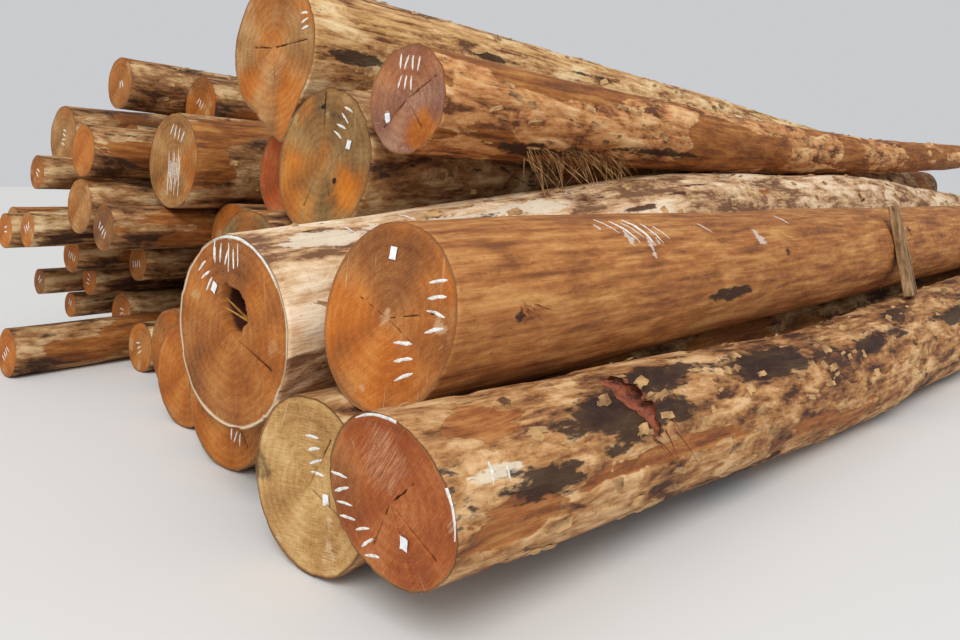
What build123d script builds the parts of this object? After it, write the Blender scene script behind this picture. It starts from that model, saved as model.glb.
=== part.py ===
from build123d import *
import math
import os

# A heap of long round logs with smaller ones behind, all lying one way on level ground.
# +X runs along the logs from their near ends, +Y runs back across the heap from its
# front log, and +Z is up. Every log is one piece of stock, sawn off at both ends.

# Driving dimensions, in millimetres and degrees
long_length = 11800  # sawn length of the large logs
short_length = 11400  # sawn length of the smaller logs behind
rest_gap = 0.4  # clearance where one log lies on another
end_reach = 100  # how far past its ends a stem may still carry another's slanting end

front_near = 650  # near and far diameters of the large logs, in the order they are laid
front_far = 840
second_near = 760
second_far = 810
third_near = 840
third_far = 770
fourth_near = 670
fourth_far = 560
fifth_near = 640
fifth_far = 580
smooth_near = 745
smooth_far = 620
arched_near = 890
arched_far = 870
olive_near = 760
olive_far = 570
buried_near = 620
buried_far = 550
brown_near = 870
brown_far = 560
propping_near = 700
propping_far = 560
splintered_near = 590
splintered_far = 380
crown_near = 880
crown_far = 500

front_turn_up = 240  # how far the front log's near end sweeps up off the ground
arch_rise = 255  # how far the arched log bows up between its ends
splintered_sag = 110  # how far the splintered log sags between its ends
splintered_side = 70  # and how far it bows back
crown_rise = 80

front_gap = 6  # clear ground between neighbouring logs of the floor row
third_gap = 430
fourth_gap = 90
fifth_gap = 40
front_splay = -150  # how much further back a log's far end lies than its near end
second_splay = 120

small_taper = 0.86  # far diameter of a small log as a share of its near one
small_turn = 6

fin_drop = 170  # how far the root fin hangs below the crown log's round butt
fin_tip = 60  # radius of its lower edge
fin_run = 2600  # how far along the log it dies away
fin_swing = 14  # how far it hangs forward of straight down, in degrees

rot_width = 170  # the rotten hollow in the arched log's butt
rot_height = 210
rot_depth = 320
rot_rise = 110  # how far above the heart it lies

wedge_length = 700  # the loose sawn wedge that leans on the smooth log
wedge_top = 100
wedge_foot = 190
wedge_thickness = 60
wedge_lean = 16
wedge_place = 5000

station_shares = (0.0, 0.3, 0.65, 1.0)  # where along a log its sweep is set
straight = (0, 0, 0, 0)
probe_count = 100  # planes along a log in which it is tried against the others
outline_points = 20  # points through which a round outline is drawn
face_change = 14  # most that a stem's radius changes along one of its faces
fin_spread = (0, 3, 6, 10, 16, 24, 34, 47, 62, 80, 100, 120, 140, 160)  # and those of a finned one, in degrees

os.makedirs("parts", exist_ok=True)


def between(values, share):
    """Reads a value that is given at the stations, at any share of the length."""
    last = len(station_shares) - 2
    for i in range(last + 1):
        if share <= station_shares[i + 1] or i == last:
            run = station_shares[i + 1] - station_shares[i]
            part = (share - station_shares[i]) / run
            return values[i] + (values[i + 1] - values[i]) * part


class Log:
    """A tapering stem: each section square to +X is a circle, but for a root fin."""

    def __init__(self, name, near, far, start, length, up=straight, side=straight, turn=0, fin=0):
        self.name = name
        self.near_radius = near / 2
        self.far_radius = far / 2
        self.start = start  # how far its near end lies behind the heap's own start
        self.length = length
        self.up = up  # sweep at the stations, upwards and sideways
        self.side = side
        self.turn = turn  # how far its near end faces the front and the sky
        self.fin = fin  # how far a root fin hangs below the butt
        self.ends_y = (0.0, 0.0)
        self.ends_z = (0.0, 0.0)

    def share(self, x):
        return (x - self.start) / self.length

    def radius(self, x):
        return self.near_radius + (self.far_radius - self.near_radius) * self.share(x)

    def y(self, x):
        part = self.share(x)
        return self.ends_y[0] + (self.ends_y[1] - self.ends_y[0]) * part + between(self.side, part)

    def z(self, x):
        part = self.share(x)
        return self.ends_z[0] + (self.ends_z[1] - self.ends_z[0]) * part + between(self.up, part)

    def middle(self):
        return self.start + self.length / 2

    def reaches(self, x):
        return self.start - end_reach <= x <= self.start + self.length + end_reach

    def fin_drop_at(self, x):
        """How far below the centre the root fin's edge is centred at x, or none past its run."""
        left = 1 - (x - self.start) / fin_run
        if not self.fin or left <= 0:
            return None
        return self.radius(x) - fin_tip + self.fin * left

    def rounds(self, x):
        """The circles that fill the section at x: offsets from its centre, and radius."""
        radius, drop = self.radius(x), self.fin_drop_at(x)
        if drop is None:
            return [(0.0, 0.0, radius)]
        direction = math.radians(270 - fin_swing)
        steps = 60
        circles = []
        for i in range(steps + 1):
            part = i / steps
            size = radius + (fin_tip - radius) * part
            circles.append((drop * part * math.cos(direction), drop * part * math.sin(direction), size))
        return circles

    def reach(self, x, angle):
        """How far the outline at x lies from its centre, at an angle in degrees."""
        radius, drop = self.radius(x), self.fin_drop_at(x)
        if drop is None:
            return radius
        off = math.radians(abs((angle - 270 + fin_swing + 180) % 360 - 180))
        flank = math.acos((radius - fin_tip) / drop)
        tip = math.atan2(fin_tip * math.sin(flank), drop + fin_tip * math.cos(flank))
        if off >= flank:
            return radius
        if off <= tip:
            return drop * math.cos(off) + math.sqrt(fin_tip**2 - (drop * math.sin(off)) ** 2)
        return radius / math.cos(flank - off)

    def angles(self):
        """The angles at which the outline is drawn, closer together round a fin's edge."""
        if not self.fin:
            return [360 * i / outline_points for i in range(outline_points)]
        ahead = [270 - fin_swing + spread for spread in fin_spread]
        behind = [270 - fin_swing - spread for spread in reversed(fin_spread[1:])]
        return ahead + [90 - fin_swing] + behind

    def aim_through(self, near_x, near_y, far_x, far_y):
        """Turns the stem in plan so that it passes through two places."""
        near_y = near_y - between(self.side, self.share(near_x))
        far_y = far_y - between(self.side, self.share(far_x))
        slope = (far_y - near_y) / (far_x - near_x)
        near_end = near_y + slope * (self.start - near_x)
        self.ends_y = (near_end, near_end + slope * self.length)


def height_needed(log, y, x, laid):
    """Lowest centre height of a stem whose centre is at y in plane x."""
    height = 0.0
    for aside, below, radius in log.rounds(x):
        height = max(height, radius - below)
        for other in laid:
            reach = radius + other.radius(x) + rest_gap
            apart = y + aside - other.y(x)
            if abs(apart) < reach and other.reaches(x):
                height = max(height, other.z(x) + math.sqrt(reach**2 - apart**2) - below)
    return height


def lowest_place(log, x, guess, laid):
    """Rolls a stem, in plane x, from a first place down into the nearest groove."""
    y, step = guess, 16.0
    height = height_needed(log, y, x, laid)
    while step > 0.03:
        for way in (-step, step):
            tried = height_needed(log, y + way, x, laid)
            if tried < height:
                y, height = y + way, tried
                break
        else:
            step /= 2
    return y


def rises_above(first, second, third):
    """Whether the line from first to third passes above second."""
    run = third[0] - first[0]
    return (second[1] - first[1]) * run <= (third[1] - first[1]) * (second[0] - first[0])


def let_down(log, laid):
    """Lowers a stem until it rests at two places, one each side of its balance point.

    It is tried a little past its ends too, as far as their slant cuts carry it.
    """
    slant = 0.9 * math.tan(math.radians(abs(log.turn)))
    first = log.start - log.near_radius * slant
    last = log.start + log.length + log.far_radius * slant / 2
    planes = {first + (last - first) * i / probe_count for i in range(probe_count + 1)}
    for stem in laid + [log]:
        for share in station_shares:
            x = stem.start + stem.length * share
            if first <= x <= last:
                planes.add(x)
    hull = []
    for x in sorted(planes):
        height = height_needed(log, log.y(x), x, laid) - between(log.up, log.share(x))
        while len(hull) > 1 and rises_above(hull[-2], hull[-1], (x, height)):
            hull.pop()
        hull.append((x, height))
    thicker = (log.far_radius - log.near_radius) / (log.far_radius + log.near_radius)
    balance = log.start + log.length * (0.5 + thicker / 6)
    for near, far in zip(hull, hull[1:]):
        if far[0] >= balance:
            break
    slope = (far[1] - near[1]) / (far[0] - near[0])
    near_end = near[1] + slope * (log.start - near[0])
    log.ends_z = (near_end, near_end + slope * log.length)
    return near[0], far[0]


def shared_run(log, laid):
    """The stretch of a stem along which all the logs under its width run too."""
    x = log.middle()
    under = [log] + [other for other in laid if abs(log.y(x) - other.y(x)) < log.radius(x) + other.radius(x)]
    return max(other.start for other in under), min(other.start + other.length for other in under)


def lay_in_groove(log, aim, laid):
    """Lays a stem on those already laid, in the groove nearest to its aim."""
    middle_y = lowest_place(log, log.middle(), aim, laid)
    log.ends_y = (middle_y, middle_y)
    near, far = log.start + log.length * 0.12, log.start + log.length * 0.88
    first, last = shared_run(log, laid)
    for _ in range(4):
        near_y = lowest_place(log, near, log.y(near), laid)
        far_y = lowest_place(log, far, log.y(far), laid)
        log.aim_through(near, near_y, far, far_y)
        touches = let_down(log, laid)
        if touches[1] - touches[0] > log.length / 4:
            near, far = max(touches[0], first), min(touches[1], last)
    laid.append(log)


def lay_on_floor(log, gap, splay, laid, last):
    """Lays a stem on the ground, clear of the last one by a gap at their nearest."""
    across = 0.0
    if last is not None:
        across = -math.inf
        for i in range(probe_count + 1):
            x = log.start + log.length * i / probe_count
            if last.reaches(x):
                reach = log.radius(x) + last.radius(x) + gap
                rise = last.z(x) - log.radius(x)
                shift = splay * (log.share(x) - 0.5)
                across = max(across, last.y(x) + math.sqrt(reach**2 - rise**2) - shift)
    log.ends_y = (across - splay / 2, across + splay / 2)
    let_down(log, [])
    laid.append(log)


def midway(front, back):
    """Aims at the groove between two neighbouring logs."""
    x = long_length / 2
    return (front.y(x) + back.y(x)) / 2


def cut_plane(log, x, turn):
    """A plane across a stem at x, turned about the upright."""
    square = Plane(origin=(x, log.y(x), log.z(x)), x_dir=(0, 1, 0), z_dir=(1, 0, 0))
    return square.rotated((0, turn, 0))


def outline(log, plane, x, turn):
    """The points of the plane at x in which a stem's outline is drawn."""
    slant = math.tan(math.radians(turn))
    points = []
    for angle in log.angles():
        way = math.radians(angle)
        at = x
        for _ in range(6):
            at = x - slant * (log.y(at) + log.reach(at, angle) * math.cos(way) - log.y(x))
        reach = log.reach(at, angle)
        corner = (at, log.y(at) + reach * math.cos(way), log.z(at) + reach * math.sin(way))
        flat = plane.to_local_coords(Vector(*corner))
        points.append((flat.X, flat.Y))
    return points


def stem_places(log):
    """Where a stem's outlines are set, each with its turn: its ends, its bends and between them."""
    bent = log.up != straight or log.side != straight
    marks = {log.start + log.length * share for share in (station_shares if bent else (0, 1))}
    if log.fin:
        marks.add(log.start + fin_run)
    marks = sorted(marks)
    places = []
    for near, far in zip(marks, marks[1:]):
        change = abs(log.radius(far) - log.radius(near))
        if log.fin_drop_at(near):
            change += log.fin
        faces = math.ceil(change / face_change)
        places += [(near + (far - near) * i / faces, 0) for i in range(faces)]
    return [(log.start, log.turn)] + places[1:] + [(log.start + log.length, log.turn / 2)]


def make_log(log):
    with BuildPart() as stem:
        for x, turn in stem_places(log):
            plane = cut_plane(log, x, turn)
            with BuildSketch(plane):
                with BuildLine():
                    Spline(*outline(log, plane, x, turn), periodic=True)
                make_face()
        loft(ruled=True)
    return stem.part


def hollow_out(whole, log):
    """Cuts the ragged rotten hollow, narrowing inwards, into the arched log's butt."""
    mouth = [
        (-0.50, 0.10), (-0.34, 0.34), (-0.12, 0.30), (0.05, 0.50), (0.30, 0.38),
        (0.46, 0.12), (0.36, -0.16), (0.44, -0.38), (0.10, -0.50), (-0.16, -0.36),
    ]
    cut = cut_plane(log, log.start, log.turn)
    with BuildPart() as stem:
        add(whole)
        for depth, share in ((-1, 1.0), (rot_depth, 0.35)):
            with BuildSketch(cut.offset(depth)):
                with Locations((-rot_width * 0.1, rot_rise)):
                    corners = [(x * rot_width * share, y * rot_height * share) for x, y in mouth]
                    Polygon(*corners, align=None)
        loft(ruled=True, mode=Mode.SUBTRACT)
    return stem.part


def make_wedge(leaned_on, stood_on):
    """A sawn wedge that stands on one log and leans back on the flank of another."""
    half = wedge_foot / 2
    places = (wedge_place - half, wedge_place + half)
    lean = math.radians(wedge_lean)
    upward = (math.sin(lean), math.cos(lean))
    into = (math.cos(lean), -math.sin(lean))
    back_face = math.inf
    for x in places:
        depth = leaned_on.y(x) * into[0] + leaned_on.z(x) * into[1]
        back_face = min(back_face, depth - leaned_on.radius(x) - rest_gap)
    foot = -math.inf
    for x in places:
        aside = stood_on.y(x) * into[0] + stood_on.z(x) * into[1] - back_face
        reach = stood_on.radius(x) + rest_gap
        centre = stood_on.y(x) * upward[0] + stood_on.z(x) * upward[1]
        foot = max(foot, centre + math.sqrt(reach**2 - aside**2))
    corner_y = back_face * into[0] + foot * upward[0]
    corner_z = back_face * into[1] + foot * upward[1]
    face = Plane(origin=(wedge_place, corner_y, corner_z), x_dir=(1, 0, 0), z_dir=(0, -into[0], -into[1]))
    with BuildPart() as wedge:
        with BuildSketch(face):
            Polygon(
                (-half, 0), (half, 0), (wedge_top / 2, wedge_length), (-wedge_top / 2, wedge_length),
                align=None,
            )
        extrude(amount=wedge_thickness)
    return wedge.part


front = Log(
    "front_floor_log", front_near, front_far, -245, long_length,
    up=(front_turn_up, 0, 0, 0), turn=-5,
)
second = Log("second_floor_log", second_near, second_far, -65, long_length, turn=2)
third = Log("third_floor_log", third_near, third_far, 400, long_length, turn=6)
fourth = Log("fourth_floor_log", fourth_near, fourth_far, 600, long_length, turn=4)
fifth = Log("fifth_floor_log", fifth_near, fifth_far, 900, long_length, turn=3)
smooth = Log("smooth_log", smooth_near, smooth_far, 125, long_length, turn=12)
arched = Log(
    "arched_log", arched_near, arched_far, -15, long_length,
    up=(0, arch_rise, arch_rise, 0), turn=3,
)
olive = Log("olive_log", olive_near, olive_far, 900, long_length, turn=4)
buried = Log("buried_log", buried_near, buried_far, 1500, long_length, turn=4)
brown = Log("brown_log", brown_near, brown_far, 1080, long_length, turn=8)
propping = Log("propping_log", propping_near, propping_far, 1500, long_length, turn=5)
splintered = Log(
    "splintered_log", splintered_near, splintered_far, 1075, long_length,
    up=(0, -splintered_sag * 0.8, -splintered_sag, 0),
    side=(0, splintered_side * 0.8, splintered_side, 0), turn=6,
)
crown = Log(
    "crown_log", crown_near, crown_far, 1185, long_length,
    up=(0, crown_rise * 0.8, crown_rise, 0), turn=5, fin=fin_drop,
)

laid = []
lay_on_floor(front, 0, front_splay, laid, None)
lay_on_floor(second, front_gap, second_splay, laid, front)
lay_on_floor(third, third_gap, 0, laid, second)
lay_on_floor(fourth, fourth_gap, 0, laid, third)
lay_on_floor(fifth, fifth_gap, 0, laid, fourth)
lay_in_groove(smooth, midway(front, second), laid)
lay_in_groove(arched, midway(second, third), laid)
lay_in_groove(olive, midway(third, fourth), laid)
lay_in_groove(buried, midway(fourth, fifth), laid)
lay_in_groove(brown, midway(arched, olive), laid)
lay_in_groove(propping, midway(olive, buried), laid)
lay_in_groove(splintered, midway(arched, brown), laid)

# The pile behind, in the order it is laid: small logs whose ends show and inner ones that
# carry them, each with its near diameter, its start and how far behind the fifth floor log
# it is let down
pile = (
    ("small", 400, 1090, 870), ("small", 380, 290, 1390), ("inner", 330, 1980, 2040),
    ("inner", 290, 1940, 2390), ("small", 230, 1130, 2280), ("small", 360, 1350, 1760),
    ("small", 240, 1500, 1960), ("small", 230, 870, 2210), ("inner", 290, 1960, 1550),
    ("small", 260, 1130, 1810), ("inner", 410, 2020, 1290), ("small", 320, 1340, 1350),
    ("small", 300, 1440, 2030), ("inner", 280, 2290, 550), ("inner", 390, 2070, 460),
    ("small", 540, 1560, 240), ("small", 310, 930, 1680), ("small", 290, 520, 1830),
    ("small", 280, 530, 1490), ("inner", 400, 2240, 410), ("small", 350, 790, 750),
    ("inner", 280, 2290, 1420), ("small", 430, 810, 1240), ("inner", 250, 2060, 1720),
    ("small", 240, 1140, 1390), ("inner", 410, 2120, 2480), ("inner", 340, 2020, 1970),
    ("inner", 350, 1990, 2440), ("small", 290, 680, 2300), ("inner", 370, 2090, 1690),
    ("small", 280, 720, 1790), ("small", 720, 1270, 530), ("small", 400, 850, 1070),
    ("small", 310, 1390, 1480), ("small", 480, 1740, 590), ("small", 520, 1050, 1900),
    ("small", 420, 1290, 1410),
)
kinds = {"small": small_turn, "inner": 0}
counts = {"small": 0, "inner": 0}
for kind, near, start, behind in pile:
    counts[kind] += 1
    name = f"{kind}_log_{counts[kind]:02d}"
    stem = Log(name, near, near * small_taper, start, short_length, turn=kinds[kind])
    lay_in_groove(stem, fifth.y(stem.middle()) + behind, laid)

lay_in_groove(crown, midway(brown, propping), laid)

pieces = {log.name: make_log(log) for log in laid}
pieces["arched_log"] = hollow_out(pieces["arched_log"], arched)
pieces["loose_wedge"] = make_wedge(smooth, front)

# The middle of the heap's footprint goes to the origin
boxes = [piece.bounding_box() for piece in pieces.values()]
middle_x = (min(box.min.X for box in boxes) + max(box.max.X for box in boxes)) / 2
middle_y = (min(box.min.Y for box in boxes) + max(box.max.Y for box in boxes)) / 2
lowest = min(box.min.Z for box in boxes)
for name, piece in pieces.items():
    stood = Pos(-middle_x, -middle_y, -lowest) * piece
    stood.label = name
    export_step(stood, f"parts/{name}.step")
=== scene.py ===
import math
from itertools import product

import bmesh
import bpy
import numpy as np
from mathutils import Matrix, Vector
from mathutils.bvhtree import BVHTree


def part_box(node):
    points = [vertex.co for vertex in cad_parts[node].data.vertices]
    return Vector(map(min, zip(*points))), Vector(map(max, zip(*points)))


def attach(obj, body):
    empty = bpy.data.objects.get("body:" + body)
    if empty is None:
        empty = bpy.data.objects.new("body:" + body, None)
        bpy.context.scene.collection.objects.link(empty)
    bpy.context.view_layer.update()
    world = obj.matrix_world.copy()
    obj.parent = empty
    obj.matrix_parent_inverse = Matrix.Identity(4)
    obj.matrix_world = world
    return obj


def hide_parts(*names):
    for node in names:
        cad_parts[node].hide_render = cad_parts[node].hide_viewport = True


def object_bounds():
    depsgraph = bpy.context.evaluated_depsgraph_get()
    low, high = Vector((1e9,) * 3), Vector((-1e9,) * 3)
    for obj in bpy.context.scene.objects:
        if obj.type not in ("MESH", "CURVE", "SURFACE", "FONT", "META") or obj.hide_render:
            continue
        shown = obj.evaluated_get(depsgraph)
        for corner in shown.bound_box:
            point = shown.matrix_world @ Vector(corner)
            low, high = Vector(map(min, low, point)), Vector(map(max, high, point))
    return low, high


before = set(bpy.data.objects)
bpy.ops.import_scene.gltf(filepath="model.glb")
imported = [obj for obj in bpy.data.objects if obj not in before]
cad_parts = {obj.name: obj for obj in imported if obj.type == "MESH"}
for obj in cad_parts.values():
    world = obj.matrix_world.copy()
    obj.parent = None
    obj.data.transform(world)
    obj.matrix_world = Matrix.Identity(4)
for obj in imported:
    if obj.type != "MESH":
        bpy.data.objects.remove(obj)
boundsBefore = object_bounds()
print("frame loaded")


# noise for the shapes, the same on every run

def latticeValue(ix, iy, iz, seed):
    mixed = (ix * 374761393 + iy * 668265263 + iz * 1274126177 + seed * 974711) & 0xFFFFFFFF
    mixed = ((mixed ^ (mixed >> 13)) * 1103515245) & 0xFFFFFFFF
    return ((mixed ^ (mixed >> 16)) & 0xFFFF) / 65535.0


def noise(points, seed):  # smooth value noise, -1 to 1
    base = np.floor(points).astype(np.int64)
    part = points - base
    part = part * part * (3 - 2 * part)
    total = 0
    for step in product((0, 1), repeat=3):
        weight = 1
        for axis in range(3):
            weight = weight * (part[..., axis] if step[axis] else 1 - part[..., axis])
        total = total + weight * latticeValue(*(base[..., axis] + step[axis] for axis in range(3)), seed)
    return total * 2 - 1


def layered(points, octaves, seed, fade=0.5):
    total, size, reach = 0, 1.0, 0.0
    for octave in range(octaves):
        total = total + noise(points * 2.03**octave, seed + octave * 17) * size
        reach += size
        size *= fade
    return total / reach


def plates(points, seed):  # distance to the nearest crack between cells, and a value for each cell
    base = np.floor(points).astype(np.int64)
    first, second = (np.full(points.shape[:-1], 9.0) for _ in range(2))
    value = np.zeros(points.shape[:-1])
    for step in product((-1, 0, 1), repeat=3):
        cell = [base[..., axis] + step[axis] for axis in range(3)]
        away = np.sqrt(sum(
            (cell[axis] + latticeValue(*cell, seed + axis) - points[..., axis]) ** 2 for axis in range(3)))
        closer = away < first
        second = np.where(closer, first, np.minimum(second, away))
        value = np.where(closer, latticeValue(*cell, seed + 3), value)
        first = np.where(closer, away, first)
    return second - first, value


def smooth(low, high, value):
    part = np.clip((value - low) / (high - low), 0, 1)
    return part * part * (3 - 2 * part)


def turnFrom(angle, degrees):  # the signed turn from a direction, -pi to pi
    return np.mod(angle - math.radians(degrees) + math.pi, 2 * math.pi) - math.pi


def outward(angle):  # the direction across a log at an angle
    return Vector((0, math.cos(angle), math.sin(angle)))


def surfaceTree(mesh):
    return BVHTree.FromPolygons([v.co for v in mesh.vertices], [p.vertices for p in mesh.polygons])


def addObject(name, data):
    made = bpy.data.objects.new(name, data)
    bpy.context.scene.collection.objects.link(made)
    return made


def ringFaces(first, second, count, flip=False):  # the quads between two rings of points
    faces = []
    for j in range(count):
        k = (j + 1) % count
        a, b = (k, j) if flip else (j, k)
        faces.append((first + a, first + b, second + b, second + a))
    return faces


def fanFaces(ring, heart, count, flip=False):  # the triangles from a ring to its middle point
    return [(first, second, heart) for first, second, *_ in ringFaces(ring, heart, count, flip)]


# the logs as the solids give them

def cutPlane(centres, normals, areas, side):
    looks = normals[:, 0] * side > 0.85
    edge = (centres[looks, 0] * side).max()
    chosen = looks & (centres[:, 0] * side > edge - 0.2)
    weight = areas[chosen][:, None]
    normal = (normals[chosen] * weight).sum(0)
    return (centres[chosen] * weight).sum(0) / weight.sum(), normal / np.linalg.norm(normal)


class Stem:  # a log's sawn planes, centre line and radius, read from its solid
    def __init__(self, node, hasFin=False):
        endClear, stationCount = 0.22, 26
        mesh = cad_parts[node].data
        count = len(mesh.polygons)
        centres, normals, areas = np.empty(count * 3), np.empty(count * 3), np.empty(count)
        mesh.polygons.foreach_get("center", centres)
        mesh.polygons.foreach_get("normal", normals)
        mesh.polygons.foreach_get("area", areas)
        centres, normals = centres.reshape(-1, 3), normals.reshape(-1, 3)
        tree = surfaceTree(mesh)
        self.near, self.nearNormal = cutPlane(centres, normals, areas, -1)
        self.far, self.farNormal = cutPlane(centres, normals, areas, 1)
        self.length = self.far[0] - self.near[0]
        stations = np.linspace(self.near[0] + endClear, self.far[0] - endClear, stationCount)
        angles = np.radians(np.arange(5, 180, 12))
        rows = []
        guess = self.near[1:].copy()
        for x in stations:
            for _ in range(2):
                # a circle is fitted to the upper half of the section
                start = Vector((x, *guess))
                hits = np.array([tree.ray_cast(start, outward(angle))[0][1:] for angle in angles])
                system = np.c_[2 * hits, np.ones(len(hits))]
                fitted = np.linalg.lstsq(system, (hits**2).sum(1), rcond=None)[0]
                guess = fitted[:2]
            rows.append((x, fitted[0], fitted[1], math.sqrt(fitted[2] + fitted[0] ** 2 + fitted[1] ** 2)))
        rows = np.array(rows)
        first = rows[0] - (rows[1] - rows[0]) * 0.8
        last = rows[-1] + (rows[-1] - rows[-2]) * 0.8
        self.rows = np.vstack([first, rows, last])
        self.fin = None
        if hasFin:
            self.readFin(tree)

    def readFin(self, tree):  # how far the root fin stands out from the round, by place and angle
        finRun = 3.2
        self.finPlaces = np.linspace(self.near[0] + 0.05, self.near[0] + finRun, 22)
        self.finAngles = np.radians(np.arange(0, 361, 3))
        grid = []
        for x in self.finPlaces:
            y, z, radius = self.centre(x)
            grid.append([max(tree.ray_cast(Vector((x, y, z)), outward(angle))[3] - radius, 0)
                         for angle in self.finAngles])
        self.fin = np.array(grid)

    def centre(self, x):
        return [np.interp(x, self.rows[:, 0], self.rows[:, column]) for column in (1, 2, 3)]

    def finReach(self, x, angle):
        if self.fin is None:
            return 0.0
        along = np.clip(
            (x - self.finPlaces[0]) / (self.finPlaces[1] - self.finPlaces[0]), 0, len(self.finPlaces) - 1.001)
        turn = np.mod(angle, 2 * math.pi) / (self.finAngles[1] - self.finAngles[0])
        turn = np.minimum(turn, len(self.finAngles) - 1.001)
        row, column = along.astype(int), turn.astype(int)
        a, b = along - row, turn - column
        return ((self.fin[row, column] * (1 - a) + self.fin[row + 1, column] * a) * (1 - b)
                + (self.fin[row, column + 1] * (1 - a) + self.fin[row + 1, column + 1] * a) * b)

    def cutX(self, y, z, far=False):  # where the sawn plane lies at a place in the section
        point, normal = (self.far, self.farNormal) if far else (self.near, self.nearNormal)
        return point[0] - (normal[1] * (y - point[1]) + normal[2] * (z - point[2])) / normal[0]


# relief over the logs

def spot(grid, x, angle, long, wide):  # 1 in the middle of an oval patch on the barrel, 0 outside it
    around = turnFrom(grid["angle"], angle) * grid["radius"]
    away = np.sqrt(((grid["along"] - x) / long) ** 2 + (around / wide) ** 2)
    return 1 - smooth(0.25, 1.05, away + grid["rough"] * 0.9)


def spots(grid, places):  # the strongest of some patches
    return np.max([np.zeros_like(grid["rough"]), *(spot(grid, *place) for place in places)], 0)


def barrelRelief(grid, look):  # how far the barrel stands out from the solid, its stains, and painted shade in its bark cracks
    local, along, seed = grid["local"], grid["along"], look["seed"]
    grid["rough"] = layered(local * (3.4, 10.0, 10.0), 4, seed + 5, 0.62)
    relief = layered(local * (0.7, 1.6, 1.6), 2, seed) * look["swell"]
    relief -= np.abs(layered(local * (0.55, 5.0, 5.0), 3, seed + 11)) * look["furrow"]
    relief += layered(local * (1.6, 16.0, 16.0), 2, seed + 23) * look["grain"]
    warp = layered(local * 3.0, 2, seed + 31)[..., None] * 0.35
    crack, tone = plates(local * look["plateScale"] + warp, seed + 41)
    cracked = smooth(-0.25, 0.35, layered(local * (2.0, 5.0, 5.0), 2, seed + 37))
    crackDepth = (1 - smooth(0.02, 0.15, crack)) * cracked
    bark = smooth(-0.12, 0.12, layered(local * (0.9, 3.2, 3.2), 3, seed + 53) + look["barkShare"])
    for place in look["bare"]:
        bark = bark * (1 - spot(grid, *place))
    relief = relief - bark * crackDepth * look["plateDepth"] + bark * (tone - 0.6) * look["plateDepth"] * 0.8
    relief -= (1 - bark) * look["barkDepth"]
    # dark: painted shade down the sunk bark cracks, with the listed dark patches laid over it
    dark = np.maximum(crackDepth * bark * 0.55, spots(grid, look["dark"]))
    for x, angle, reach, height in look["knots"]:
        around = turnFrom(grid["angle"], angle) * grid["radius"]
        away = np.sqrt((along - x) ** 2 + around**2) / reach
        relief += height * (np.exp(-(away**2) * 2.5) - 0.9 * np.exp(-((away / 0.3) ** 2)))
        dark = np.maximum(dark, np.exp(-((away / 0.34) ** 2)))
    for x, angle, reach, depth in look["hollows"]:
        relief -= depth * spot(grid, x, angle, reach, reach * 0.45)
    fromFar = grid["long"] - along
    ends = np.exp(-along / 0.05) + np.exp(-fromFar / 0.05)
    relief = relief * (1 - 0.35 * np.clip(ends, 0, 1)) - look["swell"] * 0.35
    above = smooth(-0.97, -0.6, np.sin(grid["angle"]))
    inside = smooth(0.08, 0.2, along) * smooth(0.08, 0.2, fromFar)
    pale = spots(grid, look["pale"])
    relief = np.minimum(relief, look["reach"] * above)
    return relief, {"bark": bark, "dark": dark, "pale": pale, "warm": tone, "flaky": bark * above * inside}


# metres, over a sawn face
faceDepths = {"wave": 0.004, "sawLine": 0.0006, "check": 0.012, "fur": 0.004, "torn": 0.003}


def capRelief(y, z, radius, look):  # how far the sawn face stands out from its plane, its stains, and painted shade in its checks and hollows
    seed = look["seed"] + 300
    flat = np.stack([y, z, np.zeros_like(y)], -1)
    fromHeart = np.hypot(y, z)
    share = fromHeart / radius
    turn = np.arctan2(z, y)
    saw = math.radians(look["sawTurn"])
    across = y * math.cos(saw) + z * math.sin(saw)
    relief = layered(flat * 3.0, 2, seed) * faceDepths["wave"]
    relief += np.sin(across * 260 + layered(flat * 9, 2, seed + 7) * 4) * faceDepths["sawLine"]
    dark = np.zeros_like(y)
    for angle, reach, width in look["checks"]:
        aside = np.abs(turnFrom(turn, angle)) * fromHeart + noise(flat * 30, seed + 9) * 0.003
        opened = (1 - smooth(width * 0.4, width * 1.4, aside)) * smooth(0.02, 0.1, share) * (share < reach)
        relief -= opened * faceDepths["check"]
        # the sunk check is darkened too: painted shade in the crack
        dark = np.maximum(dark, opened * 0.75)
    warm = smooth(-0.45, 0.55, layered(flat * 3.0, 3, seed + 15) + look["warmShare"])
    pale = smooth(0.15, 0.6, layered(flat * 7.0, 3, seed + 19) - 0.15)
    for patchY, patchZ, reach, kind, amount in look["patches"]:
        away = np.hypot(y - patchY, z - patchZ) / reach + layered(flat * 14, 2, seed + 21) * 0.3
        inside = 1 - smooth(0.35, 1.1, away)
        if kind == "rough":
            fur = noise(np.stack([across * 55, turn * 2, y * 0], -1), seed + 23)
            relief += inside * (fur * faceDepths["fur"] - faceDepths["torn"])
            pale = np.maximum(pale, inside * 0.6)
        elif kind == "rot":
            # the rotten hollow sinks and is darkened as it sinks: painted shade in the hollow
            deep = 1 - smooth(0.55, 1.0, away)
            relief -= deep * amount
            dark = np.maximum(dark, smooth(0.02, 0.35, deep))
        elif kind == "warm":
            warm = warm * (1 - inside) + amount * inside
        elif kind == "dark":
            dark = np.maximum(dark, inside * amount)
        else:
            pale = np.maximum(pale, inside * amount)
    return relief, {"bark": share, "dark": dark, "pale": pale, "warm": warm, "flaky": share * 0}


def gradedShares(length, nearStep, farStep, nearRun):  # closer rings near the butt, seen from close by
    places = [0.0]
    while places[-1] < length:
        part = min(places[-1] / nearRun, 1.0)
        places.append(places[-1] + nearStep + (farStep - nearStep) * part)
    return np.array(places) / places[-1]


def meshPiece(name, points, faces, material):
    mesh = bpy.data.meshes.new(name)
    mesh.from_pydata(points, [], faces)
    mesh.polygons.foreach_set("use_smooth", np.ones(len(faces), dtype=bool))
    mesh.materials.append(material)
    mesh.update()
    made = addObject(name, mesh)
    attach(made, "root")
    return made


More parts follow.
